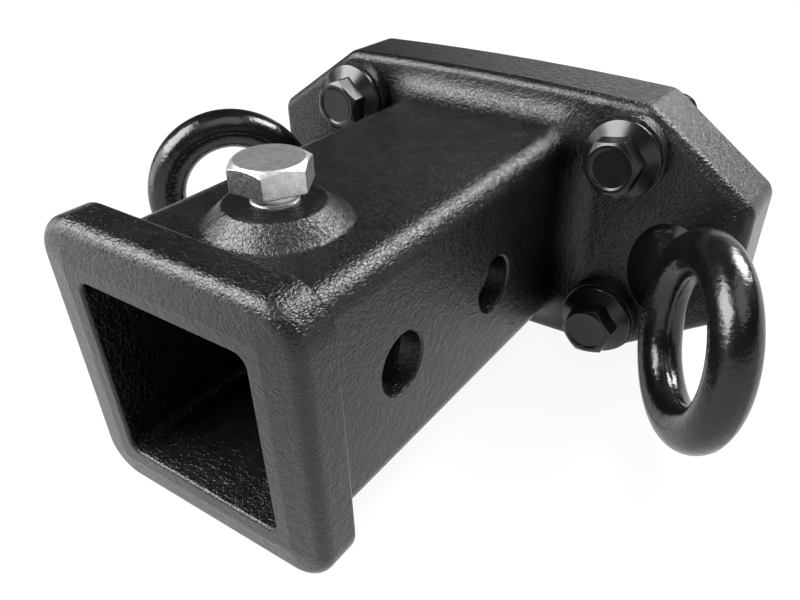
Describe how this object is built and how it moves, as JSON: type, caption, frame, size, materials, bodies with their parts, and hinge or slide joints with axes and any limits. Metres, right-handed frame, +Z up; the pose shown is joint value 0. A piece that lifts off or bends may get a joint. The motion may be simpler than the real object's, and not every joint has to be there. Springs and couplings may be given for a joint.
{
  "type": "receiver hitch",
  "caption": "Cast square receiver socket on a thick bolting plate, with a clamp bolt, crosswise pin holes and two chain rings.",
  "frame": {"origin": "centre of the socket's mouth, on the front face of the collar", "axes": "+X to the right seen from the mouth, +Y into the socket towards the plate, +Z up towards the clamp bolt"},
  "size_m": [0.2188, 0.1862, 0.0924],
  "materials": {
    "cast_black_paint": "semi-gloss black paint over a sand-cast skin",
    "forged_black_paint": "glossy black paint over smooth forged steel",
    "zinc_plated_steel": "bright zinc plate",
    "black_oxide_steel": "satin black oxide"
  },
  "bodies": {
    "receiver": {"receiver_casting": "cast_black_paint", "left_chain_ring": "forged_black_paint", "right_chain_ring": "forged_black_paint", "upper_left_mounting_bolt": "black_oxide_steel", "upper_right_mounting_bolt": "black_oxide_steel", "lower_left_mounting_bolt": "black_oxide_steel", "lower_right_mounting_bolt": "black_oxide_steel"},
    "clamp_bolt": {"clamp_bolt": "zinc_plated_steel"}
  },
  "joints": [
    {"name": "clamp_bolt_feed", "type": "slide", "parent": "receiver", "child": "clamp_bolt", "axis": [0, 0, 1], "range_m": [-0.0038, 0.008]}
  ]
}
